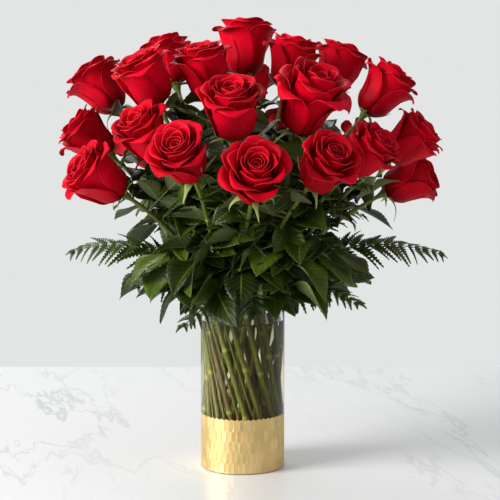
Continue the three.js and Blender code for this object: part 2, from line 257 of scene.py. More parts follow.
def flat_grid(across, along):
    """A flat sheet's points and faces. The points run from 0 to 1, so they are its UVs too."""
    deselect()
    bpy.ops.mesh.primitive_grid_add(x_subdivisions=across, y_subdivisions=along, size=1)
    sheet = bpy.context.object
    points = np.array([v.co[:2] for v in sheet.data.vertices]) + 0.5
    faces = [tuple(p.vertices) for p in sheet.data.polygons]
    bpy.data.objects.remove(sheet)
    return points, faces


def new_mesh(name, points, faces, values, value_name, uv=None):
    """A mesh whose points carry a number each, and a UV each where they are given."""
    mesh = bpy.data.meshes.new(name)
    mesh.from_pydata([tuple(p) for p in points], [], faces)
    if uv is not None:
        corners = np.empty(len(mesh.loops), int)
        mesh.loops.foreach_get("vertex_index", corners)
        layer = mesh.uv_layers.new(name="UVMap")
        layer.data.foreach_set("uv", uv[corners].astype(np.float32).ravel())
    attribute = mesh.attributes.new(value_name, "FLOAT", "POINT")
    attribute.data.foreach_set("value", np.asarray(values, np.float32))
    return mesh


def gather(name, uv, faces, shapes, tints):
    """One object that holds a copy of a flat sheet for each array of shaped points."""
    count, copies = len(uv), len(shapes)
    all_faces = [tuple(v + count * i for v in f) for i in range(copies) for f in faces]
    points, all_uv = np.concatenate(shapes), np.tile(uv, (copies, 1))
    return new_piece(name, new_mesh(name, points, all_faces, np.repeat(tints, count), "tint", all_uv))


def thicken(piece, thickness, under=0):
    """Gives a sheet its thickness. The underside's material comes that many slots after its own."""
    active(piece)
    solid = piece.modifiers.new("Thickness", "SOLIDIFY")
    solid.thickness = thickness
    solid.offset = 0
    solid.material_offset = under
    bpy.ops.object.modifier_apply(modifier=solid.name)
    bpy.ops.object.shade_smooth()


def tube(name, line, radii, sides, tone=0.3):
    """A closed round tube along a line. Each point has its own radius, and may have its own tone."""
    line = np.asarray(line)
    ways = np.gradient(line, axis=0)
    ways /= np.linalg.norm(ways, axis=1)[:, None]
    side = unit(np.cross(ways[0], [0.3, 0.9, 0.1]))
    rings = []
    for point, way, radius in zip(line, ways, radii):
        side = unit(side - way * (side @ way))
        other = np.cross(way, side)
        turn = np.linspace(0, 2 * math.pi, sides, endpoint=False)[:, None]
        rings.append(point + radius * (np.cos(turn) * side + np.sin(turn) * other))
    points = np.concatenate(rings)
    faces = []
    for i in range(len(line) - 1):
        for j in range(sides):
            a, b = i * sides + j, i * sides + (j + 1) % sides
            faces.append((a, b, b + sides, a + sides))
    faces.append(tuple(range(sides))[::-1])
    faces.append(tuple(range(len(points) - sides, len(points))))
    round_share = np.tile(np.arange(sides) / sides, len(line))
    along_share = np.repeat(np.linspace(0, 1, len(line)), sides)
    tones = np.repeat(np.broadcast_to(tone, len(line)), sides)
    uv = np.stack([round_share, along_share], axis=1)
    piece = new_piece(name, new_mesh(name, points, faces, tones, "tint", uv))
    bpy.ops.object.shade_smooth()
    return piece


def join(name, parts):
    deselect()
    for part in parts:
        part.select_set(True)
    bpy.context.view_layer.objects.active = parts[0]
    if len(parts) > 1:
        bpy.ops.object.join()
    piece = bpy.context.view_layer.objects.active
    piece.name = name
    piece.data.name = name
    return piece


# %% [markdown]
# ## Finishes
# A finish is a small graph of nodes. Each helper below adds one node, or reads one thing about the
# sheet that it colours, so that a finish can be read line by line. Painted images would be another
# way, but a graph stays sharp close up and gives every petal and leaf its own shade.

# %% Material helpers


def new_material(name, **values):
    material = bpy.data.materials.new(name)
    material.use_nodes = True
    shader = material.node_tree.nodes["Principled BSDF"]
    for socket, value in values.items():
        shader.inputs[socket.replace("_", " ")].default_value = value
    return material, material.node_tree, shader


def add(tree, kind, inputs=None, **settings):
    node = tree.nodes.new(kind)
    for key, value in settings.items():
        setattr(node, key, value)
    for key, value in (inputs or {}).items():
        if isinstance(value, bpy.types.NodeSocket):
            tree.links.new(value, node.inputs[key])
        else:
            node.inputs[key].default_value = value
    return node


def srgb(red, green, blue):
    """A screen colour, 0 to 255, as the linear colour that a shader takes."""

    def linear(c):
        c /= 255
        return c / 12.92 if c <= 0.04045 else ((c + 0.055) / 1.055) ** 2.4

    return (linear(red), linear(green), linear(blue), 1)


def ramp(tree, factor, stops):
    node = add(tree, "ShaderNodeValToRGB", {"Fac": factor})
    elements = node.color_ramp.elements
    while len(elements) < len(stops):
        elements.new(0.5)
    for element, (place, colour) in zip(elements, stops):
        element.position = place
        element.color = colour
    return node.outputs["Color"]


def mix(tree, factor, a, b, blend="MIX"):
    node = add(tree, "ShaderNodeMix", data_type="RGBA", blend_type=blend)
    for socket, value in ((node.inputs[0], factor), (node.inputs[6], a), (node.inputs[7], b)):
        if isinstance(value, bpy.types.NodeSocket):
            tree.links.new(value, socket)
        else:
            socket.default_value = value
    return node.outputs[2]


def noise(tree, coords, scale, detail=3, roughness=0.5):
    values = {"Vector": coords, "Scale": scale, "Detail": detail, "Roughness": roughness}
    return add(tree, "ShaderNodeTexNoise", values).outputs["Fac"]


def bump(tree, shader, height, strength, distance):
    node = add(tree, "ShaderNodeBump", {"Height": height, "Strength": strength, "Distance": distance})
    tree.links.new(node.outputs["Normal"], shader.inputs["Normal"])


def link(tree, output, shader, socket):
    tree.links.new(output, shader.inputs[socket])


def calc(tree, operation, *values, clamp=False):
    node = add(tree, "ShaderNodeMath", dict(enumerate(values)), operation=operation, use_clamp=clamp)
    return node.outputs[0]


def sheet_uv(tree):
    """A sheet's UVs, and their two parts: across it and along it."""
    uv = add(tree, "ShaderNodeUVMap", uv_map="UVMap").outputs["UV"]
    parts = add(tree, "ShaderNodeSeparateXYZ", {"Vector": uv})
    return uv, parts.outputs["X"], parts.outputs["Y"]


def place_on_object(tree):
    return add(tree, "ShaderNodeTexCoord").outputs["Object"]


def own_value(tree, name):
    """A number that the mesh carries at each point."""
    return add(tree, "ShaderNodeAttribute", attribute_name=name).outputs["Fac"]


def patches(tree, place, scale, detail, dark):
    """White with soft patches of a darker colour, to multiply a body colour by."""
    return ramp(tree, noise(tree, place, scale, detail), [(0.3, dark), (0.7, srgb(255, 255, 255))])


def grey(level):
    return (level, level, level, 1)


def choose_by_ray(tree, kind, usual, special, end):
    """Shows one shader as usual, and another to rays of one kind."""
    rays = add(tree, "ShaderNodeLightPath").outputs[kind]
    both = add(tree, "ShaderNodeMixShader", {0: rays})
    tree.links.new(usual.outputs[0], both.inputs[1])
    tree.links.new(special.outputs[0], both.inputs[2])
    tree.links.new(both.outputs[0], tree.nodes[end].inputs["Surface"])


# %% [markdown]
# A rose petal is velvet: its skin is covered in tiny cones that hold the light, so its colour is deep
# and it hardly shines. Its foot is painted darker, as painted shade deep in the cup, and its rim is
# painted paler, as a painted highlight along its thin edge. Fine veins run from foot to rim, and are
# drawn as a faint bump.

# %% Petal finish


def petal_material():
    material, tree, shader = new_material(
        "petal_velvet",
        Roughness=0.5,
        Specular_IOR_Level=0.06,
        Sheen_Weight=0.04,
        Sheen_Roughness=0.4,
        Sheen_Tint=srgb(255, 60, 80),
    )
    uv, _, along = sheet_uv(tree)
    reds = [(0.0, srgb(150, 0, 14)), (0.5, srgb(204, 0, 28)), (1.0, srgb(232, 3, 42))]
    body = ramp(tree, own_value(tree, "tint"), reds)
    blotch = noise(tree, place_on_object(tree), 55, 4)
    patchy = ramp(tree, blotch, [(0.35, srgb(150, 140, 140)), (0.65, srgb(255, 255, 255))])
    body = mix(tree, 0.35, body, patchy, "MULTIPLY")
    # Painted shade: the petal is darkened towards its foot, where the inside of the cup lies in shade.
    foot = ramp(tree, along, [(0.1, grey(1)), (0.6, grey(0))])
    body = mix(tree, foot, body, srgb(128, 0, 12))
    # Painted highlight: a pale band along the rim, where the thin edge catches the light.
    rim = ramp(tree, along, [(0.965, grey(0)), (1.0, grey(0.5))])
    body = mix(tree, rim, body, srgb(222, 56, 72))
    link(tree, body, shader, "Base Color")
    stretch = add(tree, "ShaderNodeMapping", {"Vector": uv, "Scale": (26, 1.6, 1)}).outputs["Vector"]
    veins = noise(tree, stretch, 1, 4, 0.6)
    bump(tree, shader, veins, 0.25, 0.4 * MM)
    return material


PETAL = petal_material()

# %% [markdown]
# A rose leaf's upper side is waxy and dark, and its underside is dull and paler. Both show a midrib
# and side veins that leave it forwards. The veins are lines of equal value in the leaf's own UVs, so
# they follow every leaflet however it bends.

# %% Leaf finish
VEIN_SLANT = -0.55  # how far a side vein leads forwards on its way to the edge
VEIN_TURNS = 50.0  # the cosine's turn over a leaf's length, in radians: about eight side veins


def leaf_material(name, dark, light, vein, roughness, depth):
    material, tree, shader = new_material(name, Roughness=roughness, Specular_IOR_Level=0.3)
    _, across, along = sheet_uv(tree)
    side = calc(tree, "ABSOLUTE", calc(tree, "SUBTRACT", across, 0.5))
    slant = calc(tree, "MULTIPLY_ADD", side, VEIN_SLANT, along)
    wave = calc(tree, "COSINE", calc(tree, "MULTIPLY", slant, VEIN_TURNS))
    ribs = ramp(tree, wave, [(0.9, grey(0)), (1.0, grey(0.35))])
    midrib = ramp(tree, side, [(0.0, grey(1)), (0.035, grey(0))])
    lines = mix(tree, 1.0, ribs, midrib, "LIGHTEN")
    body = mix(tree, own_value(tree, "tint"), dark, light)
    patchy = patches(tree, place_on_object(tree), 70, 4, srgb(170, 170, 150))
    body = mix(tree, 0.5, body, patchy, "MULTIPLY")
    body = mix(tree, lines, body, vein)
    link(tree, body, shader, "Base Color")
    bump(tree, shader, wave, 0.35, depth)
    return material


LEAF_TOP = leaf_material(
    "leaf_top", srgb(20, 32, 6), srgb(72, 94, 18), srgb(92, 108, 38), 0.36, 0.3 * MM
)
LEAF_UNDER = leaf_material(
    "leaf_underside", srgb(62, 74, 34), srgb(98, 106, 56), srgb(112, 120, 70), 0.55, 0.45 * MM
)

# %% [markdown]
# A rose stem is green where it is young, and yellower and brownish lower down. A fallen leaf leaves a
# pale ring. The tube carries one number at each point: above 0 it turns the skin woody, and below 0
# it marks a ring. Sepals are soft and pale green.

# %% Stem and sepal finishes


def stem_material():
    material, tree, shader = new_material("stem_skin", Roughness=0.42, Specular_IOR_Level=0.4)
    place = place_on_object(tree)
    tint = own_value(tree, "tint")
    height = add(tree, "ShaderNodeSeparateXYZ", {"Vector": place}).outputs["Z"]
    rise = add(tree, "ShaderNodeMapRange", {"Value": height, "From Min": 0.06, "From Max": 0.3})
    rise = rise.outputs["Result"]
    greens = [(0.0, srgb(112, 114, 38)), (0.4, srgb(104, 112, 38)), (1.0, srgb(104, 122, 44))]
    base = ramp(tree, rise, greens)
    woody = calc(tree, "MULTIPLY", tint, calc(tree, "SUBTRACT", 1.0, rise), clamp=True)
    base = mix(tree, woody, base, srgb(98, 66, 42))
    warm = ramp(tree, noise(tree, place, 18, 2), [(0.5, grey(0)), (0.75, grey(0.5))])
    base = mix(tree, warm, base, srgb(112, 78, 56))
    fine = noise(tree, place, 260, 4)
    streak = ramp(tree, fine, [(0.3, srgb(170, 170, 150)), (0.7, srgb(255, 255, 255))])
    base = mix(tree, 0.6, base, streak, "MULTIPLY")
    scar = calc(tree, "MULTIPLY", tint, -0.55, clamp=True)
    base = mix(tree, scar, base, srgb(196, 192, 104))
    link(tree, base, shader, "Base Color")
    bump(tree, shader, fine, 0.3, 0.3 * MM)
    return material


def sepal_material():
    material, tree, shader = new_material("sepal_green", Roughness=0.5, Specular_IOR_Level=0.35)
    _, _, along = sheet_uv(tree)
    greens = [(0.0, srgb(104, 132, 58)), (0.7, srgb(150, 164, 92)), (1.0, srgb(168, 172, 112))]
    link(tree, ramp(tree, along, greens), shader, "Base Color")
    bump(tree, shader, noise(tree, place_on_object(tree), 300, 3), 0.3, 0.3 * MM)
    return material


STEM = stem_material()
SEPAL = sepal_material()

# %% [markdown]
# Leatherleaf fern is stiff, dark and glossy. Each side blade has a pale midrib.

# %% Fern finish


def fern_material():
    material, tree, shader = new_material("fern_green", Roughness=0.36, Specular_IOR_Level=0.45)
    place = place_on_object(tree)
    _, across, _ = sheet_uv(tree)
    midrib = ramp(tree, across, [(0.44, grey(0)), (0.5, grey(0.5)), (0.56, grey(0))])
    body = mix(tree, own_value(tree, "tint"), srgb(22, 40, 8), srgb(68, 98, 26))
    body = mix(tree, midrib, body, srgb(116, 146, 66))
    patchy = patches(tree, place, 90, 3, srgb(170, 170, 160))
    body = mix(tree, 0.6, body, patchy, "MULTIPLY")
    link(tree, body, shader, "Base Color")
    bump(tree, shader, noise(tree, place, 420, 3), 0.25, 0.3 * MM)
    return material


FERN = fern_material()
print("materials:", len(bpy.data.materials))

# %% [markdown]
# ## Petals
# A rose opens as a spiral. Each petal starts 137.5 degrees round from the one before, and each stands
# a little further out. Its midline runs out along the cup's floor, turns up the wall and rolls over at
# the rim, more so the further out it is. One edge of every petal is tucked under its neighbour.

# %% One petal's points
GOLDEN_ANGLE = math.radians(137.5)
PETAL_COLUMNS, PETAL_ROWS = 12, 15
petal_uv, petal_faces = flat_grid(PETAL_COLUMNS, PETAL_ROWS)


def blend_by(q, stops):
    """Reads a value for a petal at q, from 0 innermost to 1 outermost."""
    return np.interp(q, [s[0] for s in stops], [s[1] for s in stops])


def petal_midline(q, radius, depth, openness):
    """A petal's midline as lengths along it, distances from the axis and heights.

    It leaves the axis on a quarter turn, climbs the wall from one lean to another, and rolls over.
    """
    wall = radius * (0.05 + (0.6 + 0.1 * openness) * q**0.85)
    floor_top = depth * 0.3
    turn = np.linspace(0, math.pi / 2, 16)
    low_r = 1.5 * MM + (wall - 1.5 * MM) * np.sin(turn)
    low_z = floor_top * (1 - np.cos(turn))
    start = math.radians(blend_by(q, [(0, 2), (0.5, 5), (1, 10)]))
    outer_leans = [(0.8, 13 + 20 * openness), (1, 22 + 30 * openness)]
    finish = math.radians(blend_by(q, [(0, -16), (0.3, -10), (0.55, 1), *outer_leans]))
    top = depth * blend_by(q, [(0, 0.8), (0.4, 0.93), (0.75, 0.9), (1, 0.78 - 0.1 * openness)])
    roll = math.radians(blend_by(q, [(0, 8), (0.35, 26), (0.6, 62), (0.8, 118), (1, 142)]))
    lip = radius * blend_by(q, [(0, 0.05), (0.35, 0.13), (0.55, 0.23), (0.8, 0.33), (1, 0.4)])
    lip *= 1 + max(0, openness - 0.6) * q
    steps = 60
    length = (top - floor_top) + lip
    ds = length / steps
    share = (np.arange(steps) + 0.5) / steps
    wall_share = (top - floor_top) / length
    lean = start + (finish - start) * np.clip(share / wall_share, 0, 1)
    lean = lean + roll * np.clip((share - wall_share) / (1 - wall_share), 0, 1)
    high_r = low_r[-1] + np.cumsum(np.sin(lean)) * ds
    high_z = low_z[-1] + np.cumsum(np.cos(lean)) * ds
    r, z = np.append(low_r, high_r), np.append(low_z, high_z)
    s = np.append(0, np.cumsum(np.hypot(np.diff(r), np.diff(z))))
    return s, r, z


def petal_points(q, turn, radius, depth, openness, dice):
    u = 2 * petal_uv[:, 0] - 1
    v = 1 - (1 - petal_uv[:, 1]) ** 1.25
    s, r, z = petal_midline(q, radius, depth, openness)
    reach = 1 - 0.06 * u**2 - 0.26 * np.abs(u) ** 5 + 0.06 * np.exp(-((u / 0.2) ** 2)) * q
    along = np.clip(v * reach, 0, 1.06) * s[-1] * 0.965
    here_r, here_z = np.interp(along, s, r), np.interp(along, s, z)
    width = radius * blend_by(q, [(0, 0.62), (0.3, 1.15), (0.7, 1.55), (1, 1.6)])
    half = 0.5 * width * (0.3 + 0.7 * np.sin(np.clip(v / 0.6, 0, 1) * math.pi / 2))
    wrap = np.clip(half / np.maximum(r.max() * 0.55, here_r), 0, 2.9)
    tuck = radius * blend_by(q, [(0, 0.03), (1, 0.07)])
    margin = np.clip(np.abs(u) - 0.62, 0, 1) ** 2 * v * radius * 0.5 * q
    phase, swing = dice.uniform(0, 2 * math.pi), dice.uniform(0.6, 1.0)
    ruffle = v**3 * radius * 0.035 * (0.1 + q) * swing * np.sin(u * dice.uniform(4, 7) + phase)
    here_r = here_r + tuck * u * v + margin + ruffle
    here_z = here_z + ruffle * 0.8 - margin * 0.5
    angle = turn + u * wrap
    return np.stack([here_r * np.cos(angle), here_r * np.sin(angle), here_z], axis=1)


# %% [markdown]
# Thirty such petals make a flower, from the tight heart to the loose outer ones. All of them are
# scaled together until they fill the plain solid, stood on the flower's axis, and given the thickness
# of a petal. Flowers differ in how far they are open, and each one starts its spiral at its own turn.

# %% All blooms
PETALS = 30
PETAL_THICKNESS = 0.5 * MM
FULLNESS = 1.08  # loose outer petals reach a little past the plain solid
OPEN_RADIUS = 42 * MM  # a flower wider than this is fully open


def to_frame(points, place, axis):
    """Carries points drawn round +Z to a place, with +Z turned onto the axis."""
    turn = Vector(axis).to_track_quat("Z", "Y").to_matrix()
    return points @ np.array(turn).T + place


def make_bloom(name, number):
    dice = random.Random(100 + number)
    bloom = blooms[name]
    openness = dice.uniform(0.1, 0.6)
    if bloom["radius"] > OPEN_RADIUS:
        openness = 1.0
    start = dice.uniform(0, 2 * math.pi)
    shapes, tints = [], []
    for i in range(PETALS):
        q = i / (PETALS - 1)
        turn = start + i * GOLDEN_ANGLE + dice.uniform(-0.12, 0.12)
        size = bloom["radius"] * dice.uniform(0.97, 1.03)
        shapes.append(petal_points(q, turn, size, bloom["depth"], openness, dice))
        tints.append(dice.uniform(0.2, 0.95))
    reach = np.percentile([np.linalg.norm(shape[:, :2], axis=1).max() for shape in shapes], 88)
    fill = np.array([FULLNESS * bloom["radius"] / reach] * 2 + [FULLNESS])
    shapes = [to_frame(shape * fill, bloom["base"], bloom["axis"]) for shape in shapes]
    piece = gather(name + "_petals", petal_uv, petal_faces, shapes, tints)
    piece.data.materials.append(PETAL)
    thicken(piece, PETAL_THICKNESS)
    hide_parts(name + "_bloom")
    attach(piece, "root")
    return piece


petal_pieces = [make_bloom(name, i) for i, name in enumerate(names)]
print("petals:", len(petal_pieces) * PETALS, "faces in one bloom:", len(petal_pieces[0].data.polygons))

# %% [markdown]
# ## Stems and rose leaves
# Rose leaves are compound: an end leaflet and a pair beside it, on one stalk. Each leaflet has a
# toothed edge and a fold along its midrib, droops a little, and ripples.

# %% One leaflet's points
LEAFLET_COLUMNS, LEAFLET_ROWS = 6, 22
leaflet_uv, leaflet_faces = flat_grid(LEAFLET_COLUMNS, LEAFLET_ROWS)
leaflet_faces = [face[::-1] for face in leaflet_faces]  # x and y change places, so the faces turn over


def leaflet_points(length, width, fold, droop, curl, wave):
    """A leaflet along +X that faces +Z, from its foot at the origin."""
    u, v = 2 * leaflet_uv[:, 0] - 1, leaflet_uv[:, 1]
    row = np.round(v * LEAFLET_ROWS)
    tooth = np.where(row % 2 == 0, 0.0, 1.0) * np.clip(np.abs(u) * 4 - 3, 0, 1)
    outline = np.sin(math.pi * v**0.84) ** 0.62 * (1 - 0.5 * v**5)
    y = 0.5 * width * u * (outline + 0.02) * (1 + 0.08 * tooth)
    x = length * (v + 0.02 * tooth * (1 - v)) + 0.1 * length * np.abs(u) * outline * (1 - v)
    rise = np.abs(y) * math.tan(fold)
    ripple = wave * np.sin(v * 9 + u * 2.2) * np.abs(u) ** 1.5 * 0.5 * width
    bend = 0.5 * droop * v
    drop = x * np.sin(bend) + curl * v**3 * length * 0.12
    return np.stack([x * np.cos(bend), y * (1 - 0.15 * curl * np.abs(u)), rise + ripple - drop], axis=1)


def swing(points, angle):
    """Turns points round the Z axis."""
    c, s = math.cos(angle), math.sin(angle)
    x, y, z = points.T
    return np.stack([c * x - s * y, s * x + c * y, z], axis=1)


def basis(way, normal):
    """A turn that carries +X onto way and +Z as near as it can to normal."""
    x = unit(way)
    z = unit(np.asarray(normal) - x * (np.asarray(normal) @ x))
    return np.stack([x, np.cross(z, x), z], axis=1)


LEAF_STALK = 22 * MM  # from the stem to the pair of side leaflets
LEAF_GAP = 20 * MM  # from the pair to the end leaflet
LEAFLET_LENGTH = 60 * MM
SIDE_LEAFLET = 0.72  # a side leaflet's length over the end one's


def sagged(x, sag):
    """How far a stalk has dropped at a distance x along it."""
    return x**2 * math.tan(sag) * 4


def compound_leaf(foot, way, normal, size, sag, dice):
    """Leaflet points and the stalk's line, for a leaf from foot along way that faces normal."""
    turn = basis(way, normal)
    pair_at, end_at = LEAF_STALK * size, (LEAF_STALK + LEAF_GAP) * size
    spots = [(end_at, 0.0, 1.0)]
    for side in (-1, 1):
        spots.append((pair_at, side * math.radians(dice.uniform(55, 68)), SIDE_LEAFLET))
    shapes = []
    for at, angle, share in spots:
        length = LEAFLET_LENGTH * size * share * dice.uniform(0.92, 1.08)
        drawn = leaflet_points(
            length,
            length * dice.uniform(0.6, 0.68),
            math.radians(dice.uniform(4, 34)),
            math.radians(dice.uniform(-10, 30)) + sag,
            dice.uniform(0.2, 1.0),
            dice.uniform(0.03, 0.12),
        )
        swung = swing(drawn, angle) + [at, 0, 0]
        swung[:, 2] -= sagged(np.clip(swung[:, 0], 0, 1), sag)
        shapes.append(swung @ turn.T + foot)
    x = np.linspace(0, end_at + 2 * MM, 9)
    line = np.stack([x, 0 * x, -sagged(x, sag)], axis=1) @ turn.T + foot
    return shapes, line


# %% [markdown]
# Five sepals wrapped the bud. When the flower opens they bend back, each in its own way, and stay as
# thin green tongues under the petals.

# %% Sepals
SEPALS = 5
SEPAL_COLUMNS, SEPAL_ROWS = 3, 12
sepal_uv, sepal_faces = flat_grid(SEPAL_COLUMNS, SEPAL_ROWS)


def sepal_points(length, width, spread, curl):
    """A sepal that leaves the axis along +X, leaning by spread and at its tip by curl more."""
    u, v = 2 * sepal_uv[:, 0] - 1, sepal_uv[:, 1]
    half = 0.5 * width * (1 - v) ** 0.8 * (1 + 0.6 * np.sin(math.pi * np.clip(v * 2, 0, 1)))
    lean = spread + curl * v
    s = length * v
    r = 5 * MM + s * np.sin(lean * 0.7)
    z = s * np.cos(lean * 0.7) - 2 * MM
    return np.stack([r, u * half, z + 0.15 * half * np.abs(u)], axis=1)


def make_sepals(name, dice):
    bloom = blooms[name]
    shapes, tints = [], []
    start = dice.uniform(0, 6.28)
    for i in range(SEPALS):
        drawn = sepal_points(
            dice.uniform(22, 36) * MM,
            dice.uniform(6, 8) * MM,
            math.radians(dice.uniform(60, 130)),
            math.radians(dice.uniform(-60, 110)),
        )
        turn = start + i * 2 * math.pi / SEPALS + dice.uniform(-0.2, 0.2)
        shapes.append(to_frame(swing(drawn, turn), bloom["base"], bloom["axis"]))
        tints.append(dice.random())
    piece = gather(name + "_sepals", sepal_uv, sepal_faces, shapes, tints)
    piece.data.materials.append(SEPAL)
    thicken(piece, 0.5 * MM)
    return piece


# %% [markdown]
# A stem is thickest at its cut end. It has a slight swelling wherever a leaf stood, and ends in the
# hip, the cup that holds the petals.

# %% Stem thickness
HIP_LENGTH = 13 * MM
HIP_SWELL = 4.2 * MM
RING_SWELL = 0.6 * MM
RING_LENGTH = 2.6 * MM


def stem_radii(line, dice):
    """Thickness along a stem with the hip at its top, and where the rings are that old leaves leave."""
    along = lengths_along(line)
    radius = np.interp(along, [0, 0.2, along[-1]], [1.06, 1.0, 0.82]) * STEM_RADIUS
    rings = np.zeros(len(line))
    for at in np.arange(dice.uniform(0.03, 0.07), along[-1] - 0.05, dice.uniform(0.06, 0.1)):
        rings += np.exp(-(((along - at) / RING_LENGTH) ** 2))
    hip = np.clip((along - along[-1] + HIP_LENGTH) / HIP_LENGTH, 0, 1)
    return radius + RING_SWELL * rings + HIP_SWELL * hip**1.6, rings


# %% [markdown]
# A cut rose keeps its upper leaves, and they fill the space under the flowers. Each leaf is tried in
# forty directions, and the one with the most room wins: clear of the flowers, clear of the fern, and
# not hanging over the vase. Placing 240 leaves by hand would be another way, but each would have to be
# moved again whenever a stem moves.

# %% Free leaves
LEAF_TRIES = 40
LEAF_FLOOR = RIM + 6 * MM  # no free leaf's tip should go lower
ROOM_ENOUGH = 0.012
FERN_ENOUGH = 0.04
centres = np.array([b["base"] + b["axis"] * b["depth"] * 0.55 for b in blooms.values()])
radii = np.array([b["radius"] for b in blooms.values()])


def room_around(points):
    """The least distance from the points to any bloom, counted from its outside."""
    far = np.linalg.norm(points[:, None, :] - centres[None], axis=2) - radii * 0.92
    return far.min()


def free_leaf(name, share, size, sag, dice):
    """An extra leaf on the curved part of a stem, on the side where it has most room."""
    line = stem_lines[name]
    upper = line[STRAIGHT_POINTS:]
    at = int(share * (len(upper) - 2))
    foot, stem_way = upper[at], unit(upper[at + 1] - upper[at])
    outward = unit([foot[0], foot[1], 0])
    best = None
    for _ in range(LEAF_TRIES):
        flat = swing(outward[None], dice.uniform(-2.2, 2.2))[0]
        rise = dice.uniform(-0.4, 0.15 + 0.9 * share**3) + 0.5 * share
        way = unit(flat + rise * np.array(UP))
        across = np.cross(way, UP)
        normal = unit(np.cross(across, way) + dice.uniform(-1.3, 1.3) * across)
        reach = np.array([0.03, 0.06, 0.1]) * size
        probe = foot + np.outer(reach, way) - np.outer(sagged(reach, sag), UP)
        low = min(0, probe[2][2] - LEAF_FLOOR)
        clear = min(FERN_ENOUGH, away_from_line(probe, fern_path).min())
        score = min(room_around(probe), ROOM_ENOUGH) + 3 * low + 0.8 * clear
        score += 0.006 * way[2] * share**3 - 0.02 * abs(way @ stem_way)
        score += dice.uniform(0, 0.006)
        if best is None or score > best[0]:
            best = (score, way, normal)
    return foot, best[1], best[2]


OWN_LEAF_LENGTH = 102 * MM
OWN_LEAF_FLOOR = RIM - 4 * MM
MOST_LIFT = 0.3


def lifted(foot, way, normal):
    """The stem's own leaf, raised if its tip would hang over the front of the vase."""
    least = min(MOST_LIFT, (OWN_LEAF_FLOOR - foot[2]) / OWN_LEAF_LENGTH)
    if way[2] < least:
        flat = unit([way[0], way[1], 0]) * math.sqrt(1 - least**2)
        way = flat + np.array([0, 0, least])
    return foot, way, normal


# %% [markdown]
# A whole stem is its tube, its sepals, its own leaf and ten free leaves, joined into one piece. A rose
# grows more and larger leaves low on the part that is seen, so the sizes fall towards the flower.

# %% One whole stem
STEM_TONES = (0.0, 0.1, 0.3, 0.6, 0.9)  # how woody a stem is
LEAF_SHARES = (0.14, 0.23, 0.33, 0.43, 0.54, 0.65, 0.74, 0.82, 0.89, 0.95)  # along the curved part


def make_stem(name, number):
    dice = random.Random(500 + number)
    line = refine(stem_lines[name], 150)
    radii_along, rings = stem_radii(line, dice)
    tone = dice.choice(STEM_TONES)
    parts = [tube(name + "_tube", line, radii_along, 12, tone * (1 - rings) - rings)]
    parts[0].data.materials.append(STEM)
    parts.append(make_sepals(name, dice))
    leaves = [(lifted(*leaf_places[name]), 1.0, math.radians(4))]
    for share in LEAF_SHARES:
        size = dice.uniform(0.9, 1.4) * (1.05 - 0.4 * share)
        sag = math.radians(dice.uniform(2, 18))
        at = share + dice.uniform(-0.04, 0.04)
        leaves.append((free_leaf(name, at, size, sag, dice), size, sag))
    shapes, tints = [], []
    for (foot, way, normal), size, sag in leaves:
        drawn, stalk = compound_leaf(foot, way, normal, size, sag, dice)
        shapes += drawn
        green = dice.uniform(0, 1)
        tints += [min(1, max(0, green + dice.uniform(-0.15, 0.15))) for _ in drawn]
        petiole = tube(name + "_petiole", stalk, np.linspace(1.3, 0.8, len(stalk)) * MM, 6)
        petiole.data.materials.append(STEM)
        parts.append(petiole)
    blades = gather(name + "_leaflets", leaflet_uv, leaflet_faces, shapes, tints)
    blades.data.materials.append(LEAF_TOP)
    blades.data.materials.append(LEAF_UNDER)
    thicken(blades, 0.5 * MM, under=1)
    parts.append(blades)
    piece = join(name + "_stem_and_leaves", parts)
    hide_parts(name + "_stem")
    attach(piece, "root")
    return piece


stem_pieces = [make_stem(name, i) for i, name in enumerate(names)]
print("stems:", len(stem_pieces), "faces in one:", len(stem_pieces[0].data.polygons))

# %% [markdown]
# ## Fern fronds
# A leatherleaf frond carries pairs of side blades that shorten towards its tip. Each blade is cut into
# forward-pointing teeth almost to its midrib, so one toothed strip is drawn and copied for them all.

# %% A side blade's points
BLADE_TEETH = 9
blade_uv, blade_faces = flat_grid(4, 3 * BLADE_TEETH)


def blade_points(length, width, fold, droop):
    """A toothed side blade along +X that faces +Z, from its foot at the origin."""
    u, v = 2 * blade_uv[:, 0] - 1, blade_uv[:, 1]
    step = np.round(v * 3 * BLADE_TEETH) % 3
    tooth = np.choose(step.astype(int), [0.3, 0.8, 1.0])
    taper = (1 - v) ** 0.7 * (0.7 + 0.3 * np.sin(math.pi * np.clip(v * 2, 0, 1)))
    half = 0.5 * width * taper * tooth + 0.4 * MM
    x = 0.95 * length * v + 0.45 * np.abs(u) * half
    z = fold * np.abs(u) * half - droop * length * v**2
    return np.stack([x, u * half, z], axis=1)


# %% [markdown]
# The blades stand in pairs along the stalk, with their tips forward, and shorten towards the frond's
# tip. The frond's roll and width come from its plain blade, so that the real frond covers it.

# %% Fronds
BLADE_PITCH = 9.5 * MM
LEAST_BLADE = 13 * MM
LEAST_BLADE_WIDTH = 9 * MM


def frond_side(curve, blade):
    """The frond's roll and width, half way along it, from the plain blade's corners."""
    middle = blade.mean(0)
    near = np.linalg.norm(curve - middle, axis=1).argmin()
    way = unit(curve[min(near + 2, len(curve) - 1)] - curve[max(near - 2, 0)])
    offsets = blade - curve[np.linalg.norm(blade[:, None] - curve[None], axis=2).argmin(1)]
    offsets = offsets - np.outer(offsets @ way, way)
    across = np.linalg.svd(offsets)[2][0]
    level = np.cross([0, 0, 1], way)
    across = across if across @ level > 0 else -across
    roll = math.atan2(across @ np.cross(way, unit(level)), across @ unit(level))
    width = 2 * np.abs(offsets @ across).max()
    return roll, width


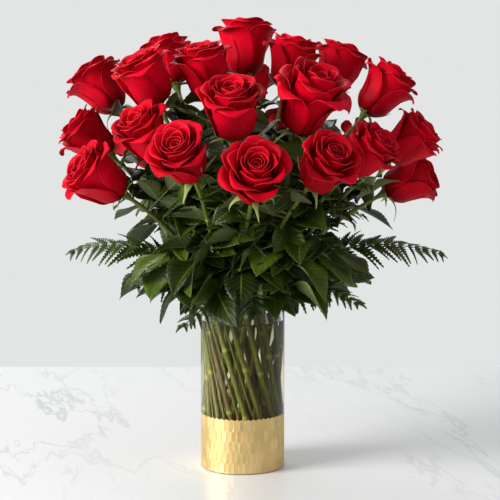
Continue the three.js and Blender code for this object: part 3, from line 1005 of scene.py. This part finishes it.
def make_frond(node, number):
    dice = random.Random(900 + number)
    foot, mouth, curve, blade = frond_lines[node]
    roll, width = frond_side(curve, blade)
    line = np.vstack([np.linspace(foot, mouth, 12)[:-1], curve])
    radii_along = np.interp(np.linspace(0, 1, len(line)), [0, 0.4, 1], [1.4, 1.3, 0.35]) * MM
    parts = [tube(node + "_stalk", line, radii_along, 7)]
    parts[0].data.materials.append(STEM)
    ways = np.gradient(curve, axis=0)
    ways /= np.linalg.norm(ways, axis=1)[:, None]
    along = lengths_along(curve)
    total = along[-1]
    start = 0.24 * total
    shapes, tints = [], []
    pairs = int((total - start) / BLADE_PITCH)
    for k in range(2 * pairs + 1):
        hand = (-1, 1)[k % 2] if k < 2 * pairs else 0
        share = (k // 2 + 0.3) / pairs
        i = int(np.clip(np.searchsorted(along, start + (total - start) * share), 1, len(curve) - 3))
        level = unit(np.cross(UP, ways[i]))
        upward = np.cross(ways[i], level)
        across = math.cos(roll) * level + math.sin(roll) * upward
        normal = math.cos(roll) * upward - math.sin(roll) * level
        lean = math.radians(60 - 16 * share + dice.uniform(-5, 5)) * abs(hand)
        lift = dice.uniform(-0.3, 0.12) * abs(hand)
        way = unit(math.cos(lean) * ways[i] + hand * math.sin(lean) * across + lift * normal)
        long = max(0.58 * width * (1 - share) ** 0.55 * dice.uniform(0.9, 1.1), LEAST_BLADE)
        wide = max(0.36 * long, LEAST_BLADE_WIDTH)
        facing = normal + dice.uniform(-0.7, 0.7) * across * abs(hand)
        drawn = blade_points(long, wide, dice.uniform(0.1, 0.4), dice.uniform(0.1, 0.35))
        shapes.append(drawn @ basis(way, facing).T + curve[i])
        tints.append(dice.uniform(0.1, 0.9))
    blades = gather(node + "_blades", blade_uv, blade_faces, shapes, tints)
    blades.data.materials.append(FERN)
    thicken(blades, 0.4 * MM)
    parts.append(blades)
    piece = join(node + "_leafy", parts)
    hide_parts(node)
    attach(piece, "root")
    return piece


frond_pieces = [make_frond(node, i) for i, node in enumerate(fern_nodes)]
print("fronds:", len(frond_pieces), "faces in one:", len(frond_pieces[0].data.polygons))

# %% [markdown]
# ## The vase, its water and its band
# The glass is turned from its section, as on a glassblower's lathe. The water reaches a hair into the
# glass, so that light bends once where they meet.

# %% Turning


def turned(name, section, steps):
    """A solid of revolution from [radius, height] points that start and end on the axis or close up."""
    deselect()
    mesh = bpy.data.meshes.new(name)
    mesh.from_pydata([(r, 0, z) for r, z in section], [(i, i + 1) for i in range(len(section) - 1)], [])
    piece = new_piece(name, mesh)
    bpy.ops.object.mode_set(mode="EDIT")
    bpy.ops.mesh.select_all(action="SELECT")
    bpy.ops.mesh.spin(steps=steps, angle=2 * math.pi, center=(0, 0, 0), axis=(0, 0, 1))
    bpy.ops.mesh.select_all(action="SELECT")
    bpy.ops.mesh.remove_doubles(threshold=0.01 * MM)
    bpy.ops.mesh.normals_make_consistent(inside=False)
    bpy.ops.object.mode_set(mode="OBJECT")
    bpy.ops.object.shade_smooth_by_angle(angle=math.radians(35))
    return piece


def arc(centre_r, centre_z, radius, first, last, count):
    turn = np.radians(np.linspace(first, last, count))
    return [(centre_r + radius * math.cos(t), centre_z + radius * math.sin(t)) for t in turn]


WALL = 3.5 * MM
BASE = 12 * MM
RIM_ROUND = WALL / 2
FLOOR_ROUND = 5 * MM
BAND_WALL = 1.2 * MM
BAND_GAP = 0.3 * MM
bore = VASE_RADIUS - WALL
recess = VASE_RADIUS - BAND_WALL - BAND_GAP
recess_top = band_high.z + BAND_GAP

glass_section = [(0, 0), (recess - 1 * MM, 0), (recess, 1 * MM), (recess, recess_top)]
glass_section += [(VASE_RADIUS, recess_top + 0.2 * MM), (VASE_RADIUS, RIM - RIM_ROUND)]
glass_section += arc(VASE_RADIUS - RIM_ROUND, RIM - RIM_ROUND, RIM_ROUND, 10, 170, 9)
glass_section += [(bore, RIM - RIM_ROUND - 1 * MM), (bore, BASE + FLOOR_ROUND)]
glass_section += arc(bore - FLOOR_ROUND, BASE + FLOOR_ROUND, FLOOR_ROUND, -10, -90, 7)
glass_section += [(0, BASE)]
glass = turned("vase", glass_section, 128)

# %% [markdown]
# Clear glass and water bend what is seen through them. A renderer doesn't trace how lamps' light bends
# through them, though, and would leave the stems in the dark. So each surface lets the lamps' light
# straight through, a little dimmed.

# %% Glass and water finishes


def let_light_in(tree, shader, share):
    """Lets that share of the lamps' light pass a clear surface unbent."""
    clear = add(tree, "ShaderNodeBsdfTransparent", {"Color": share})
    choose_by_ray(tree, "Is Shadow Ray", shader, clear, "Material Output")


def glass_material():
    material, tree, shader = new_material(
        "clear_glass",
        Base_Color=(0.98, 0.99, 0.98, 1),
        Roughness=0.0,
        IOR=1.5,
        Transmission_Weight=1.0,
        Specular_Tint=(0.12, 0.12, 0.12, 1),
    )
    let_light_in(tree, shader, (0.84, 0.85, 0.84, 1))
    return material


def water_material():
    material, tree, shader = new_material(
        "still_water",
        Base_Color=(0.84, 0.82, 0.6, 1),
        Roughness=0.0,
        IOR=1.333,
        Transmission_Weight=1.0,
        Specular_Tint=(0.0, 0.0, 0.0, 1),
    )
    let_light_in(tree, shader, (0.76, 0.75, 0.64, 1))
    return material


# %% The glass and the water in place
glass.data.materials.append(glass_material())
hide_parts("vase_glass")
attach(glass, "root")

WATER_OVERLAP = 0.1 * MM
inside, floor = bore + WATER_OVERLAP, BASE - WATER_OVERLAP
meniscus = 1.2 * MM
water_section = [(0, floor), (inside - FLOOR_ROUND, floor)]
water_section += arc(inside - FLOOR_ROUND, floor + FLOOR_ROUND, FLOOR_ROUND, -80, 0, 6)
water_section += [(inside, water_high.z), (inside - meniscus, water_high.z - 0.8 * meniscus)]
water_section += [(inside - 3 * meniscus, water_high.z - meniscus), (0, water_high.z - meniscus)]
water = turned("vase_water", water_section, 128)
water.data.materials.append(water_material())
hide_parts("water")
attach(water, "root")
print("glass and water:", len(glass.data.polygons), len(water.data.polygons))

# %% [markdown]
# ## The honeycomb band
# The band is pressed with rows of long six-sided cells. Each cell is a small flat facet, let in a
# little and tipped its own way, so that neighbours catch the light differently. The cells' rims are
# shared, and the facets are joined to them by narrow slopes.

# %% Cells
CELLS_AROUND = 48
CELL_ROWS = 5
CELL_DEPTH = 0.16 * MM
CELL_TILT = 0.12 * MM
CELL_POINT = 0.4  # the height of a cell's pointed end over the pitch of the rows
FACET_SHARE = 0.84
BAND_TIP = 1.8 * MM


def band_cell(row, k, half, pitch, low):
    """A cell's middle angle and the six corners of its rim, as [angle, height]."""
    middle = (2 * k + row % 2) * half
    bottom, top = low + row * pitch, low + (row + 1) * pitch
    point = CELL_POINT * pitch / 2
    heights = [bottom + point, bottom - point, bottom + point, top - point, top + point, top - point]
    if row == 0:
        heights[:3] = [low] * 3
    if row == CELL_ROWS - 1:
        heights[3:] = [band_high.z - BAND_TIP, band_high.z, band_high.z - BAND_TIP]
    turns = [middle - half, middle, middle + half, middle + half, middle, middle - half]
    return middle, list(zip(turns, heights))


# %% The band


def make_band():
    low = band_low.z
    pitch = (band_high.z - BAND_TIP - low) / CELL_ROWS
    half = math.pi / CELLS_AROUND
    dice = random.Random(7)
    points, faces, tones = [], [], []

    def corner(angle, height, depth, tone):
        r = VASE_RADIUS - depth
        points.append((r * math.cos(angle), r * math.sin(angle), height))
        tones.append(tone)
        return len(points) - 1

    for row in range(CELL_ROWS):
        for k in range(CELLS_AROUND):
            middle, rim = band_cell(row, k, half, pitch, low)
            level = sum(z for _, z in rim) / 6
            tip = [CELL_TILT * dice.uniform(-1, 1) for _ in range(2)]
            # Painted reflection: each facet's own random tone stands for how brightly it throws back
            # the room.
            tone = dice.uniform(0.3, 1.0)
            outer = [corner(a, z, 0, 0.5) for a, z in rim]
            inner = []
            for a, z in rim:
                lean = tip[0] * (a - middle) / half + tip[1] * (z - level) / pitch * 2
                spot = (middle + (a - middle) * FACET_SHARE, level + (z - level) * FACET_SHARE)
                inner.append(corner(*spot, max(0.03 * MM, CELL_DEPTH + lean), tone))
            for i in range(6):
                j = (i + 1) % 6
                faces.append((outer[i], outer[j], inner[j], inner[i]))
            faces.append(tuple(inner))
    piece = new_piece("honeycomb_band", new_mesh("honeycomb_band", points, faces, tones, "tone"))
    bpy.ops.object.mode_set(mode="EDIT")
    bpy.ops.mesh.select_all(action="SELECT")
    bpy.ops.mesh.remove_doubles(threshold=0.02 * MM)
    bpy.ops.mesh.normals_make_consistent(inside=False)
    bpy.ops.object.mode_set(mode="OBJECT")
    solid = piece.modifiers.new("Thickness", "SOLIDIFY")
    solid.thickness = BAND_WALL - CELL_DEPTH - CELL_TILT
    solid.offset = -1
    bpy.ops.object.modifier_apply(modifier=solid.name)
    bpy.ops.object.shade_smooth_by_angle(angle=math.radians(9))
    return piece


# %% [markdown]
# The metal is brushed rather than polished, so it throws back a broad, soft light. Each facet has its
# own slight tone, a painted reflection: a lighter or darker gold stands for the light that wavy
# pressed foil throws back.

# %% The band's finish


def gold_material():
    material, tree, shader = new_material("satin_gold", Metallic=1.0)
    place = place_on_object(tree)
    cloud = noise(tree, place, 40, 3)
    # Painted reflection: the facet's tone picks a lighter or darker gold, as if it caught more or less
    # light.
    painted_reflection_golds = [(0.0, srgb(212, 180, 118)), (0.3, srgb(224, 194, 132)), (1.0, srgb(238, 215, 158))]
    body = ramp(tree, own_value(tree, "tone"), painted_reflection_golds)
    worn = ramp(tree, cloud, [(0.3, srgb(236, 232, 226)), (0.7, srgb(255, 255, 255))])
    body = mix(tree, 1.0, body, worn, "MULTIPLY")
    link(tree, body, shader, "Base Color")
    rough = add(tree, "ShaderNodeMapRange", {"Value": cloud, "To Min": 0.5, "To Max": 0.6})
    link(tree, rough.outputs["Result"], shader, "Roughness")
    bump(tree, shader, noise(tree, place, 900, 2), 0.08, 0.1 * MM)
    return material


band = make_band()
band.data.materials.append(gold_material())
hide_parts("gold_band")
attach(band, "root")
print("band faces:", len(band.data.polygons))

# %% [markdown]
# ## The table, the light and the camera
# A pale marble slab stands in front of a plain pale room. Its thin grey veins run mostly away from the
# viewer. A vein is where a slow noise crosses its middle value, so it wanders and breaks off as in
# stone.

# %% Marble finish


def marble_material():
    material, tree, shader = new_material("pale_marble", Roughness=0.22, Specular_IOR_Level=0.5)
    place = place_on_object(tree)
    swung = add(tree, "ShaderNodeMapping", {"Vector": place, "Rotation": (0, 0, math.radians(-16))})
    drawn = add(tree, "ShaderNodeMapping", {"Vector": swung.outputs["Vector"], "Scale": (2.2, 0.5, 1)})
    drawn = drawn.outputs["Vector"]
    cloud = noise(tree, drawn, 2.0, 5, 0.55)
    warped = add(tree, "ShaderNodeVectorMath", {0: drawn, 1: cloud}, operation="ADD").outputs["Vector"]
    veins = noise(tree, warped, 3.0, 7, 0.58)
    line = ramp(tree, veins, [(0.48, grey(0)), (0.5, grey(1)), (0.52, grey(0))])
    strength = ramp(tree, cloud, [(0.45, grey(0.05)), (0.7, grey(0.5))])
    faint = mix(tree, 1.0, line, strength, "MULTIPLY")
    body = mix(tree, faint, srgb(246, 247, 249), srgb(138, 146, 158))
    link(tree, body, shader, "Base Color")
    return material


# %% Table
SLAB_BACK = 0.60
SLAB_FRONT = -2.4
SLAB_HALF = 1.7
SLAB_THICKNESS = 0.03

deselect()
bpy.ops.mesh.primitive_cube_add(
    size=1,
    location=(0, (SLAB_BACK + SLAB_FRONT) / 2, -SLAB_THICKNESS / 2),
    scale=(2 * SLAB_HALF, SLAB_BACK - SLAB_FRONT, SLAB_THICKNESS),
)
slab = bpy.context.object
slab.name = "marble_slab"
bpy.ops.object.transform_apply(location=True, rotation=True, scale=True)
edge = slab.modifiers.new("Edge", "BEVEL")
edge.width = 2 * MM
edge.segments = 3
bpy.ops.object.modifier_apply(modifier=edge.name)
slab.data.materials.append(marble_material())

# %% [markdown]
# One large soft light stands low on the left, so the flowers on that side are brightest while the
# table stays even. A weak one fills from the right, and one behind draws a thin edge of light. The
# room gives the rest, as a white studio does.

# %% Light


def area_light(name, place, target, size, watts, colour):
    data = bpy.data.lights.new(name, "AREA")
    data.shape = "DISK"
    data.size = size
    data.energy = watts
    data.color = colour
    lamp = bpy.data.objects.new(name, data)
    lamp.location = place
    lamp.rotation_euler = (Vector(target) - Vector(place)).to_track_quat("-Z", "Y").to_euler()
    bpy.context.scene.collection.objects.link(lamp)


middle = Vector((0, 0, 0.33))
area_light("key_light", (-3.4, -1.55, 1.6), middle, 2.4, 220, (1.0, 0.985, 0.96))
area_light("fill_light", (1.9, -1.1, 0.9), middle, 1.4, 2, (0.95, 0.98, 1.0))
area_light("back_light", (-0.7, 1.8, 1.7), middle, 1.2, 14, (1.0, 1.0, 1.0))

# %% [markdown]
# The room lights the bouquet evenly from all round, but it is seen as a wall of one pale grey.

# %% Room
WALL_COLOUR = srgb(227, 229, 228)
ROOM_LIGHT = 0.58

world = bpy.data.worlds.new("pale_room")
bpy.context.scene.world = world
world.use_nodes = True
tree = world.node_tree
background = tree.nodes["Background"]
background.inputs["Color"].default_value = srgb(232, 234, 234)
background.inputs["Strength"].default_value = ROOM_LIGHT
seen = add(tree, "ShaderNodeBackground", {"Color": WALL_COLOUR, "Strength": 1.0})
choose_by_ray(tree, "Is Camera Ray", background, seen, "World Output")
bpy.context.scene.view_settings.view_transform = "Standard"

# %% [markdown]
# A long lens looks slightly down on the bouquet, from about two metres, so that it isn't distorted.

# %% Camera
CAMERA_PLACE = Vector((0.009, -2.0, 0.53))
CAMERA_TARGET = Vector((0.009, 0, 0.266))
camera_data = bpy.data.cameras.new("camera")
camera_data.lens = 120
camera_data.sensor_width = 36
camera = bpy.data.objects.new("camera", camera_data)
camera.location = CAMERA_PLACE
camera.rotation_euler = (CAMERA_TARGET - CAMERA_PLACE).to_track_quat("-Z", "Y").to_euler()
bpy.context.scene.collection.objects.link(camera)
bpy.context.scene.camera = camera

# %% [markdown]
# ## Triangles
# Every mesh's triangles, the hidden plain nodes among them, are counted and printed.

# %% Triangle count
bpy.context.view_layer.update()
meshes = [piece.data for piece in bpy.data.objects if piece.type == "MESH"]
triangles = sum(len(face.vertices) - 2 for mesh in meshes for face in mesh.polygons)
print("triangles, with the plain nodes:", triangles)
